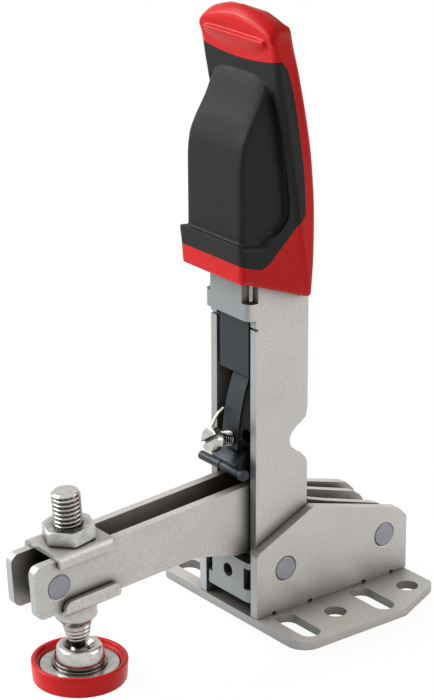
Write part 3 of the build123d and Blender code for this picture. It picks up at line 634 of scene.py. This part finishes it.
# ---------------------------------------------------------------- pieces
class CLAMP_OT_stage(bpy.types.Operator):
    """Lay the pale floor, hang the lamps and set the camera"""

    bl_idname = "clamp.stage"
    bl_label = "Stage"

    def white_for_view(self, tree):
        """1 for the camera, gloss and clear parts, which see plain white, 0 elsewhere."""
        path = tree.nodes.new("ShaderNodeLightPath")
        first = tree.nodes.new("ShaderNodeMath")
        first.operation = "MAXIMUM"
        tree.links.new(path.outputs["Is Camera Ray"], first.inputs[0])
        tree.links.new(path.outputs["Is Glossy Ray"], first.inputs[1])
        second = tree.nodes.new("ShaderNodeMath")
        second.operation = "MAXIMUM"
        tree.links.new(first.outputs[0], second.inputs[0])
        tree.links.new(path.outputs["Is Transmission Ray"], second.inputs[1])
        return second.outputs[0]

    def floor(self):
        size = 4000
        low = node_box("foot_cap")[0].z - 0.1
        floor = mesh_piece(
            "floor", [
                (-size, -size, low), (size, -size, low), (size, size, low), (-size, size, low)
            ], [(0, 1, 2, 3)]
        )
        material = bpy.data.materials.new("floor white")
        material.use_nodes = True
        tree = material.node_tree
        tree.nodes.clear()
        out = tree.nodes.new("ShaderNodeOutputMaterial")
        matt = tree.nodes.new("ShaderNodeBsdfDiffuse")
        matt.inputs["Color"].default_value = (0.86, 0.86, 0.86, 1)
        glow = tree.nodes.new("ShaderNodeEmission")
        glow.inputs["Strength"].default_value = 1.05
        mix = tree.nodes.new("ShaderNodeMixShader")
        seen = self.white_for_view(tree)
        share = tree.nodes.new("ShaderNodeMath")
        share.operation = "MULTIPLY"
        share.inputs[1].default_value = 0.91
        tree.links.new(seen, share.inputs[0])
        tree.links.new(share.outputs[0], mix.inputs[0])
        tree.links.new(matt.outputs[0], mix.inputs[1])
        tree.links.new(glow.outputs[0], mix.inputs[2])
        tree.links.new(mix.outputs[0], out.inputs["Surface"])
        floor.data.materials.append(material)

    def world(self, ambient):
        world = bpy.data.worlds.new("studio")
        bpy.context.scene.world = world
        world.use_nodes = True
        tree = world.node_tree
        back = tree.nodes["Background"]
        back.inputs["Color"].default_value = (1, 1, 1, 1)
        seen = self.white_for_view(tree)
        level = tree.nodes.new("ShaderNodeMapRange")
        level.inputs["To Min"].default_value = ambient
        level.inputs["To Max"].default_value = 1.0
        tree.links.new(seen, level.inputs["Value"])
        tree.links.new(level.outputs["Result"], back.inputs["Strength"])

    def lamp(self, name, place, aim, size, power, colour):
        data = bpy.data.lights.new(name, "AREA")
        data.energy = power
        data.size = size
        data.color = colour
        lamp = bpy.data.objects.new(name, data)
        lamp.location = place
        lamp.rotation_euler = (Vector(aim) - Vector(place)).to_track_quat("-Z", "Y").to_euler()
        bpy.context.scene.collection.objects.link(lamp)

    def execute(self, context):
        stage = context.scene.clamp_stage
        self.floor()
        self.world(stage.ambient)
        middle = (-0.03, 0, 0.08)
        self.lamp("key", (-0.70, 0.34, 0.50), middle, 0.5, stage.key, (0.97, 0.99, 1.0))
        self.lamp("fill", (0.60, -0.62, 0.38), middle, 0.6, stage.fill, (1.0, 0.98, 0.95))
        self.lamp("back", (-0.45, 0.72, 0.65), middle, 0.3, stage.back, (1.0, 1.0, 1.0))
        data = bpy.data.cameras.new("camera")
        data.lens = stage.lens
        data.sensor_width = 36
        data.clip_start = 0.05
        data.clip_end = 20
        camera = bpy.data.objects.new("camera", data)
        azimuth, elevation, roll = (math.radians(v) for v in (stage.azimuth, stage.elevation, stage.roll))
        right = Vector((math.cos(azimuth), -math.sin(azimuth), 0))
        ahead = Vector(
            (
                math.sin(azimuth) * math.cos(elevation),
                math.cos(azimuth) * math.cos(elevation),
                -math.sin(elevation),
            )
        )
        up = right.cross(ahead)
        across = math.cos(roll) * right + math.sin(roll) * up
        above = -math.sin(roll) * right + math.cos(roll) * up
        turn = Matrix((across, above, -ahead)).transposed().to_4x4()
        camera.matrix_world = Matrix.Translation(Vector(stage.camera_place)) @ turn
        context.scene.collection.objects.link(camera)
        context.scene.camera = camera
        context.scene.view_settings.view_transform = "Standard"
        return {"FINISHED"}


class CLAMP_OT_base(bpy.types.Operator):
    """Dress the flanged base, its side plates and the two pivot rivets"""

    bl_idname = "clamp.base"
    bl_label = "Base"

    def execute(self, context):
        sizes = context.scene.clamp_sizes
        for node in ("base_plate", "side_plate_near", "side_plate_far"):
            edged(node, "base", "satin_sheet", finish("satin sheet"), sizes.sheet_edge)
        edged("lever_spacer", "base", "rivet_steel", finish("rivet steel"), sizes.turned_edge)
        rivet("front_rivet", "base", 3.2, 3.72, 13.0, (-16.8, 15.3))
        rivet("rear_rivet", "base", 2.9, 3.72, 13.0, (19.5, 15.3))
        return {"FINISHED"}


class CLAMP_OT_lever(bpy.types.Operator):
    """Dress the folded lever channel"""

    bl_idname = "clamp.lever"
    bl_label = "Lever"

    EDGES = (
        ((91.2, 92.35), 0.0, 0.0, 93.3),
        ((86.9, 87.5), -25.05, 0, 89.8),
        ((92.1, 92.7), -24.0, 6.5, 94.6),
        ((97.2, 97.8), -24.0, 6.5, 101.0),
        ((10.5, 11.1), -24.0, 6.5, 10.0),
        ((16.6, 17.2), -24.0, 6.5, 16.3),
    )

    def trim_web(self, piece):
        """Sets the stamped edges of both webs and opens the bend slots."""
        for point in piece.data.vertices:
            x, y, z = (value / MM for value in point.co)
            for (low, high), front, side, to in self.EDGES:
                if low < z < high and x < front and abs(y) > side:
                    point.co.z = to * MM
                    break
        for side in (1, -1):
            near, far = sorted((side * 6.87, side * 11.0))
            cut(piece, block("window", (-28.0, near, 94.6), (-24.4, far, 101.0)))
            near, far = sorted((side * 7.1, side * 11.0))
            cut(piece, block("window", (-28.0, near, 10.0), (-24.6, far, 16.3)))
            cut(piece, block("slit", (-28.0, near, 86.7), (-24.4, far, 87.4)))

    def execute(self, context):
        sizes = context.scene.clamp_sizes
        edged(
            "lever_channel",
            "lever",
            "satin_sheet",
            finish("lever sheet"),
            sizes.sheet_edge,
            2,
            self.trim_web,
        )
        edged("grip_pin", "lever", "rivet_steel", finish("rivet steel"), sizes.turned_edge)
        return {"FINISHED"}


class CLAMP_OT_grip(bpy.types.Operator):
    """Mould the two-part grip: red shell with a domed head, soft black insert with a finger swell"""

    bl_idname = "clamp.grip"
    bl_label = "Grip"

    BOTTOM = ((-30.4, 101.8), (-9.8, 94.06), (-9.0, 94.0), (-8.4, 94.4))
    REAR = ((-8.2, 95.5), (-7.5, 106.3), (-7.7, 121.0), (-9.0, 132.7), (-11.5, 144.4), (-14.5, 155.8))
    HEAD = ((-17.2, 166.0), (-17.9, 170.4), (-19.2, 173.3), (-21.9, 174.4))
    BROW = ((-23.2, 173.4), (-24.4, 172.1), (-24.95, 170.7), (-24.9, 169.7), (-24.5, 168.7))
    FACE = ((-24.4, 168.0), (-23.6, 162.5), (-22.6, 156.0), (-21.7, 150.0), (-19.8, 141.0), (-18.1, 123.0))
    SKIRT = ((-18.2, 118.0), (-25.7, 111.9), (-33.4, 113.2), (-33.0, 107.8), (-32.6, 102.2))
    ARCH = curve(((0, 174.4), (5.6, 173.7), (10.5, 172.4), (13.5, 171.1), (15.2, 169.4), (16.0, 166.9)), 5)
    WIDTH = ((90, 13.6), (108, 13.6), (128, 13.9), (158, 16.0), (180, 16.0))
    SWELL = (
        (-22.7, 157.6),
        (-24.3, 154.4),
        (-25.6, 151.4),
        (-27.2, 148.0),
        (-29.2, 144.0),
        (-31.2, 138.6),
        (-31.9, 133.0),
        (-31.8, 108.5),
    )
    LINE_TOP = ((-45.0, 160.4), (-24.6, 160.4), (-21.4, 160.4))
    LINE_SIDE = (
        (-20.3, 160.3),
        (-19.4, 159.2),
        (-17.8, 154.9),
        (-15.6, 146.6),
        (-13.9, 138.4),
        (-12.4, 129.6),
        (-11.6, 117.8),
    )
    LINE_LOW = (
        (-15.0, 114.5),
        (-21.1, 108.9),
        (-23.3, 106.8),
        (-25.3, 105.8),
        (-27.5, 105.8),
        (-34.5, 108.2),
        (-45.0, 111.9),
    )

    def half_width(self, height):
        return level(self.WIDTH, height)

    def domed(self, x, y, z):
        """Lets the head's top and its brow follow the arch."""
        high = level(self.ARCH, abs(y))
        if x > self.HEAD[-1][0]:
            return min(z, high)
        drop = self.ARCH[0][1] - high
        return z - drop * min(1.0, max(0.0, (z - 163.0) / (self.ARCH[0][1] - 163.0)))

    def soft_top(self, x, y, z):
        """Rounds the swell's upper corners down."""
        return z - 3.2 * min(1.0, abs(y) / 11.9) ** 4 * min(1.0, max(0.0, (z - 140.0) / 12.0))

    def sagging(self, x, y, z):
        """Lets the seam over the insert sag between the sides."""
        return z + 1.6 * (min(16.0, abs(y)) / 16.0) ** 2 if z > 160.35 or x < -21.0 and z > 150 else z

    def slab(self, name, outline, slices, width, lid=None, ease=0.0):
        """A side outline swept across, its width and top set by functions, its side edges rounded."""
        count = len(outline)
        inward = []
        for k in range(count):
            run = Vector(outline[(k + 1) % count]) - Vector(outline[k - 1])
            inward.append(Vector((-run.y, run.x)).normalized())
        middle = sum((Vector(point) for point in outline), Vector((0, 0))) / count
        if sum(inward[k].dot(middle - Vector(outline[k])) for k in range(count)) < 0:
            inward = [-side for side in inward]
        points, faces = [], []
        for index in range(slices + 1):
            share = 2 * index / slices - 1
            if ease:
                share = math.sin(share * math.pi / 2)
            for (x, z), side in zip(outline, inward):
                half = width(z)
                y = share * half
                into = max(0.0, abs(y) - (half - ease))
                inset = ease - math.sqrt(max(0.0, ease * ease - into * into)) if ease else 0.0
                x_in, z_in = x + side.x * inset, z + side.y * inset
                points.append((x_in, y, lid(x, y, z_in) if lid else z_in))
        for index in range(slices):
            for corner in range(count):
                after = (corner + 1) % count
                faces.append(
                    (
                        index * count + corner,
                        index * count + after,
                        (index + 1) * count + after,
                        (index + 1) * count + corner,
                    )
                )
        faces.append(tuple(range(count)))
        faces.append(tuple(slices * count + corner for corner in reversed(range(count))))
        return mesh_piece(name, points, faces)

    def lip(self):
        """The crescent that stands out under the brow."""
        rows, points, faces = 24, [], []
        for index in range(rows + 1):
            y = 12.7 * (2 * index / rows - 1)
            low = 162.9 + 1.5 * (y / 12.7) ** 2
            points += [
                (-23.0, y, 167.4), (-25.3, y, 167.1), (-25.7, y, 166.7), (-23.9, y, low), (-23.0, y, low)
            ]
        for index in range(rows):
            for corner in range(5):
                after = (corner + 1) % 5
                faces.append(
                    (index * 5 + corner, index * 5 + after, index * 5 + 5 + after, index * 5 + 5 + corner)
                )
        faces += [tuple(range(5)), tuple(rows * 5 + corner for corner in reversed(range(5)))]
        return mesh_piece("lip", points, faces)

    def moulded(self, piece, size, passes):
        """Melts joined forms into one skin with eased edges."""
        cells = piece.modifiers.new("mould", "REMESH")
        cells.mode = "VOXEL"
        cells.voxel_size = size * 1 * MM
        cells.adaptivity = 0
        ease = piece.modifiers.new("ease", "SMOOTH")
        ease.factor = 0.5
        ease.iterations = passes
        settle(piece)

    def execute(self, context):
        sizes = context.scene.clamp_sizes
        rear = curve([*self.REAR, self.HEAD[0], self.HEAD[1]], 4)
        body_line = [
            *self.BOTTOM,
            *rear,
            *self.HEAD[2:],
            *self.BROW,
            *curve([*self.FACE, self.SKIRT[0]], 4),
            *self.SKIRT[1:],
        ]
        body = self.slab("body", body_line, 48, self.half_width, self.domed, 1.6)
        for side in (1, -1):
            face = [(x + 1.5, z) for x, z in curve([(-23.0, 153.0), *self.FACE[3:], self.SKIRT[0]], 3)]
            trench = self.slab(
                "trench", [*face, (-20.0, 114.0), (-40.0, 114.0), (-40.0, 153.0)], 1, lambda z: 0.85
            )
            trench.data.transform(Matrix.Translation((0, side * 12.55 * MM, 0)))
            cut(body, trench)
        swell_line = [*curve(self.SWELL[:-1], 4), self.SWELL[-1], (-15.0, 108.5), (-15.0, 138.0)]
        swell = self.slab("swell", swell_line, 24, lambda z: 11.9, self.soft_top)
        self.moulded(swell, 0.5, 14)
        whole = joined("whole", body, swell, self.lip())
        self.moulded(whole, sizes.grip_voxel, sizes.grip_smooth)
        cut(whole, block("room", (-27.75, -10.0, 85.0), (-10.8, 10.0, 104.0)))
        line = [*curve(self.LINE_TOP, 4), *curve(self.LINE_SIDE, 5), *curve(self.LINE_LOW, 4)]
        region = self.slab("region", line, 24, lambda z: 20.0, self.sagging)
        shell = new_object("grip_red_shell", whole.data.copy())
        insert = new_object("grip_black_insert", whole.data.copy())
        cut(shell, region, "DIFFERENCE", True)
        cut(insert, region, "INTERSECT", True)
        for tool in (whole, region):
            bpy.data.objects.remove(tool)
        for piece in (shell, insert):
            smooth(piece, 40)
        place(shell, "lever", "red_plastic", finish("grip red"), "grip_shell")
        place(insert, "lever", "black_plastic", finish("grip black"), "grip_insert")
        return {"FINISHED"}


class CLAMP_OT_arm(bpy.types.Operator):
    """Dress the forked arm, its bearing and the rivet at its tip"""

    bl_idname = "clamp.arm"
    bl_label = "Arm"

    def execute(self, context):
        sizes = context.scene.clamp_sizes
        for node in ("arm_plate_near", "arm_plate_far"):
            edged(node, "arm", "satin_sheet", finish("satin sheet"), sizes.sheet_edge)
        for node in ("arm_bush", "arm_washer_near", "arm_washer_far", "tip_spacer", "link_pin"):
            edged(node, "arm", "rivet_steel", finish("rivet steel"), sizes.turned_edge)
        rivet("tip_rivet", "arm", 2.6, 3.72, 6.6, (-88.7, 28.6))
        return {"FINISHED"}


class CLAMP_OT_link(bpy.types.Operator):
    """Dress the dark link, its guide block, leaf, carrier, cross pin and spring"""

    bl_idname = "clamp.link"
    bl_label = "Link"

    def raise_block(self, piece):
        """Carries the guide block's top up behind the web."""
        for point in piece.data.vertices:
            if point.co.z > 85.5 * MM:
                point.co.z = 90.0 * MM

    PIN = (-28.85, 45.4)
    WIRE = ((-26.15, 3.1, 60.9), (-28.2, 3.2, 59.4), (-30.0, 3.1, 56.7), (-30.4, 2.9, 54.4))

    def execute(self, context):
        sizes = context.scene.clamp_sizes
        for node in ("link_plate", "upper_pin", "adjuster_leaf"):
            edged(node, "link", "black_oxide", finish("black oxide"), sizes.turned_edge)
        edged(
            "link_block",
            "link",
            "black_oxide",
            finish("black oxide"),
            sizes.turned_edge,
            2,
            self.raise_block,
        )
        x, z = self.PIN
        outline = (
            (x + 0.2, z + 1.7),
            (-25.2, z + 4.1),
            (-20.4, z + 4.1),
            (-20.4, z - 1.4),
            (x + 1.2, z - 1.5),
            (x - 0.2, z),
        )
        points = [(px, y, pz) for y in (-5.2, 5.2) for px, pz in outline]
        count = len(outline)
        faces = [tuple(range(count)), tuple(count + k for k in reversed(range(count)))]
        faces += [(k, (k + 1) % count, count + (k + 1) % count, count + k) for k in range(count)]
        carrier = mesh_piece("pin_carrier_plate", points, faces)
        ease = carrier.modifiers.new("edges", "BEVEL")
        ease.width = 0.25 * MM
        ease.segments = 2
        settle(carrier)
        smooth(carrier, 30)
        place(carrier, "link", "black_oxide", finish("black oxide"), "pin_carrier")
        line = [
            (0, -10),
            (1.2, -10),
            (1.6, -9.5),
            (1.6, -7.8),
            (1.05, -7.7),
            (1.05, -7.3),
            (1.3, -7.2),
            (1.3, -0.1),
            (1.05, 0),
            (1.05, 0.55),
        ]
        line += [(1.3, 0.65), (1.3, 9.6), (0.95, 10), (0, 10)]
        pin = turned("cross_pin_turned", line, (x, 0, z), (0, 1, 0), 48)
        place(pin, "link", "black_oxide", finish("black oxide"), "cross_pin")
        path = [Vector(point) * MM for point in self.WIRE]
        wire = bpy.data.curves.new("spring_wire", "CURVE")
        wire.dimensions = "3D"
        wire.bevel_depth = 0.42 * MM
        wire.bevel_resolution = 3
        wire.use_fill_caps = True
        run = wire.splines.new("BEZIER")
        run.bezier_points.add(len(path) - 1)
        for point, at in zip(run.bezier_points, path):
            point.co = at
            point.handle_left_type = "AUTO"
            point.handle_right_type = "AUTO"
        spring = bpy.data.objects.new("spring_wire", wire)
        context.scene.collection.objects.link(spring)
        graph = context.evaluated_depsgraph_get()
        solid = new_object(
            "adjuster_spring_wire", bpy.data.meshes.new_from_object(spring.evaluated_get(graph))
        )
        bpy.data.objects.remove(spring)
        smooth(solid, 60)
        place(solid, "link", "spring_wire", finish("spring wire"), "adjuster_spring")
        return {"FINISHED"}


class CLAMP_OT_screw(bpy.types.Operator):
    """Turn the slotted adjusting screw and cut its thread"""

    bl_idname = "clamp.screw"
    bl_label = "Adjusting screw"

    def execute(self, context):
        sizes = context.scene.clamp_sizes
        face, aim = Vector((-33.9, 0, 54.3)), Vector((-25.4, 0, 52.7))
        along = (aim - face).normalized()
        line = [(0, 0), (2.85, 0), (3.2, 0.1), (3.43, 0.32), (3.5, 0.65), (3.5, 2.45), (3.35, 2.6), (0, 2.6)]
        head = turned("head", line, face, along, 96)
        across = Vector((0, -math.cos(math.radians(35)), math.sin(math.radians(35))))
        square = along.cross(across).normalized()
        corners = [
            (
                face + along * a + across * b + square * c
            )[:] for a in (-1, 1.2) for b in (-5, 5) for c in (-0.65, 0.65)
        ]
        slot = mesh_piece(
            "slot",
            corners,
            [(0, 1, 3, 2), (4, 6, 7, 5), (0, 4, 5, 1), (2, 3, 7, 6), (0, 2, 6, 4), (1, 5, 7, 3)],
        )
        cut(head, slot)
        shank = thread("shank", 2.15, 1.6, sizes.screw_pitch, 2.5, 10.2, face, along, 40, 8, 0.4)
        screw = joined("adjusting_screw_cut", head, shank)
        smooth(screw, 32)
        place(screw, "screw", "bright_zinc", finish("bright zinc"), "adjusting_screw")
        return {"FINISHED"}


class CLAMP_OT_holder(bpy.types.Operator):
    """Dress the two saddles and the nuts that clamp the spindle to the arm"""

    bl_idname = "clamp.holder"
    bl_label = "Spindle holder"

    def cradle(self):
        """The bent lower saddle, its lips rounded at both ends."""
        front, rear, lip, low, thick, side = -8.5, 9.4, -4.0, -7.5, 1.5, 7.3
        slope = math.atan(0.0664)
        along, up = Vector((math.cos(slope), 0, math.sin(slope))), Vector(
            (-math.sin(slope), 0, math.cos(slope))
        )
        stations = [front + 2.3 * (1 - math.cos(k * math.pi / 16)) for k in range(8)]
        stations += [front + 2.3 + k * 1.5 for k in range(1, 8)]
        stations += [rear - 1.6 * (1 - math.cos(k * math.pi / 16)) for k in reversed(range(9))]
        stations.sort()
        points, faces = [], []
        for s in stations:
            into = min((s - front) / 2.3, (rear - s) / 1.6, 1.0)
            drop = (1 - math.sqrt(max(0.0, 1 - (1 - into) ** 2))) * (2.3 if s < 0 else 1.6)
            ring = [(side, lip - drop)]
            ring += [
                (side - 1.1 + 1.1 * math.cos(a), low + 1.1 - 1.1 * math.sin(a))
                for a in (0, 0.52, 1.05, 1.57)
            ]
            ring += [(-y, z) for y, z in reversed(ring)]
            bend = side + thick - 2.6
            outer = [(side + thick, lip - drop)]
            outer += [
                (
                    bend + 2.6 * math.cos(a), low - thick + 2.6 - 2.6 * math.sin(a)
                ) for a in (0, 0.31, 0.63, 0.94, 1.26, 1.57)
            ]
            ring += [(-y, z) for y, z in outer]
            ring += list(reversed(outer))
            points += [(Vector((-80, 0, 29)) + along * s + up * z + Vector((0, y, 0)))[:] for y, z in ring]
        count = len(points) // len(stations)
        for row in range(len(stations) - 1):
            for k in range(count):
                after = (k + 1) % count
                faces.append(
                    (
                        row * count + k,
                        row * count + after,
                        (row + 1) * count + after,
                        (row + 1) * count + k,
                    )
                )
        faces.append(tuple(range(count)))
        faces.append(tuple(len(points) - count + k for k in reversed(range(count))))
        piece = mesh_piece("lower_saddle_bent", points, faces)
        ease = piece.modifiers.new("edges", "BEVEL")
        ease.width = 0.22 * MM
        ease.segments = 2
        ease.limit_method = "ANGLE"
        ease.angle_limit = math.radians(50)
        settle(piece)
        smooth(piece, 40)
        return piece

    def execute(self, context):
        sizes = context.scene.clamp_sizes
        edged("upper_saddle", "holder", "satin_sheet", finish("satin sheet"), sizes.sheet_edge)
        place(self.cradle(), "holder", "satin_sheet", finish("satin sheet"), "lower_saddle")
        edged("top_nut", "holder", "bright_zinc", finish("nut zinc"), 0.22, 3)
        slope = math.atan(0.0664)
        line = [
            (4.06, -9.0),
            (5.5, -9.0),
            (5.85, -9.35),
            (5.85, -13.4),
            (5.7, -13.7),
            (4.35, -15.3),
            (4.06, -15.4),
            (4.06, -9.0),
        ]
        collar = turned("collar_turned", line, (-80.0, 0, 29.0), (-math.sin(slope), 0, math.cos(slope)), 96)
        place(collar, "holder", "bright_zinc", finish("nut zinc"), "collar_nut")
        return {"FINISHED"}


class CLAMP_OT_spindle(bpy.types.Operator):
    """Cut the spindle's thread, cone, neck and ball"""

    bl_idname = "clamp.spindle"
    bl_label = "Spindle"

    def execute(self, context):
        sizes = context.scene.clamp_sizes
        slope = math.atan(0.0664)
        up = (-math.sin(slope), 0, math.cos(slope))
        origin = (-80.0, 0, 29.0)
        ball = (2.8 - 29.0) / math.cos(slope)
        top, low = 23.35, -22.6
        sleeve = ((-30, 0.45), (-22.6, 0.45), (-20.95, 0.68), (-19.1, 0.86), (-16.0, 1.0), (30, 1.0))
        body = joined(
            "threads",
            thread("thread", 4.0, 3.28, sizes.spindle_pitch, -15.9, top, origin, up, 64, 12, 0.6),
            thread(
                "cone",
                4.0,
                3.72,
                sizes.spindle_pitch,
                low,
                -15.8,
                origin,
                up,
                64,
                12,
                0.3,
                lambda h: level(sleeve, h),
            ),
        )
        core = turned(
            "core",
            [(0, ball), (1.85, ball), (1.85, low + 0.4), (1.4, low + 0.5), (1.4, top - 1),
             (2.9, top - 0.6), (3.3, top - 0.02),
             (2.9, top + 0.03), (0, top + 0.05)],
            origin,
            up,
            64,
        )
        ball_arc = [
            (3.5 * math.sin(math.pi * k / 24), ball - 3.5 * math.cos(math.pi * k / 24)) for k in range(25)
        ]
        knob = turned("spindle_ball", ball_arc, origin, up, 48)
        piece = joined("spindle_screw", body, core, knob)
        smooth(piece, 50)
        place(piece, "spindle", "bright_zinc", finish("bright zinc"), "spindle")
        return {"FINISHED"}


class CLAMP_OT_foot(bpy.types.Operator):
    """Turn the swivel foot and mould its red cap"""

    bl_idname = "clamp.foot"
    bl_label = "Foot"

    def execute(self, context):
        low, high = node_box("foot_cap")
        origin = ((low.x + high.x) / 2, 0, 0)
        socket_line = softened(
            [(2.3, 3.6), (2.6, 4.6), (4.2, 6.0), (4.6, 6.2), (5.7, 6.2), (6.2, 5.6), (7.05, 2.4),
             (7.0, 1.3), (6.75, 0.8),
             (6.85, 0.45), (7.4, 0.5), (7.8, 0.68), (11.1, 0.7), (11.1, -2.2)],
            0.5,
        )
        socket = turned("foot_socket_turned", [*socket_line, (0, -2.2)], origin, (0, 0, 1), 128)
        place(socket, "foot", "bright_zinc", finish("bright zinc"), "foot_socket")
        cap_line = softened(
            [
                (0, -3.8),
                (12.9, -3.8),
                (13.3, 2.1),
                (11.95, 2.1),
                (11.9, 0.95),
                (11.12, 0.85),
                (11.12, -2.0),
                (0, -2.22),
            ], 0.55
        )
        cap = turned("foot_cap_moulded", cap_line, origin, (0, 0, 1), 144)
        place(cap, "foot", "red_cap", finish("cap red"), "foot_cap")
        return {"FINISHED"}


STEPS = (
    CLAMP_OT_stage,
    CLAMP_OT_base,
    CLAMP_OT_lever,
    CLAMP_OT_grip,
    CLAMP_OT_arm,
    CLAMP_OT_link,
    CLAMP_OT_screw,
    CLAMP_OT_holder,
    CLAMP_OT_spindle,
    CLAMP_OT_foot,
)


class CLAMP_PT_panel(bpy.types.Panel):
    """Lists the clamp's pieces, colours and stage"""

    bl_idname = "CLAMP_PT_panel"
    bl_label = "Toggle clamp"
    bl_space_type = "VIEW_3D"
    bl_region_type = "UI"
    bl_category = "Clamp"

    def draw(self, context):
        for step in STEPS:
            self.layout.operator(step.bl_idname)
        for group in (context.scene.clamp_finish, context.scene.clamp_sizes, context.scene.clamp_stage):
            box = self.layout.box()
            for key in group.__annotations__:
                box.prop(group, key)


CLASSES = (ClampFinish, ClampSizes, ClampStage, *STEPS, CLAMP_PT_panel)


def register():
    for kind in CLASSES:
        bpy.utils.register_class(kind)
    bpy.types.Scene.clamp_finish = PointerProperty(type=ClampFinish)
    bpy.types.Scene.clamp_sizes = PointerProperty(type=ClampSizes)
    bpy.types.Scene.clamp_stage = PointerProperty(type=ClampStage)


def unregister():
    del bpy.types.Scene.clamp_stage
    del bpy.types.Scene.clamp_sizes
    del bpy.types.Scene.clamp_finish
    for kind in reversed(CLASSES):
        bpy.utils.unregister_class(kind)


def main():
    """Builds every piece in order."""
    register()
    for step in STEPS:
        group, command = step.bl_idname.split(".")
        getattr(getattr(bpy.ops, group), command)()


if __name__ == "__main__":
    main()
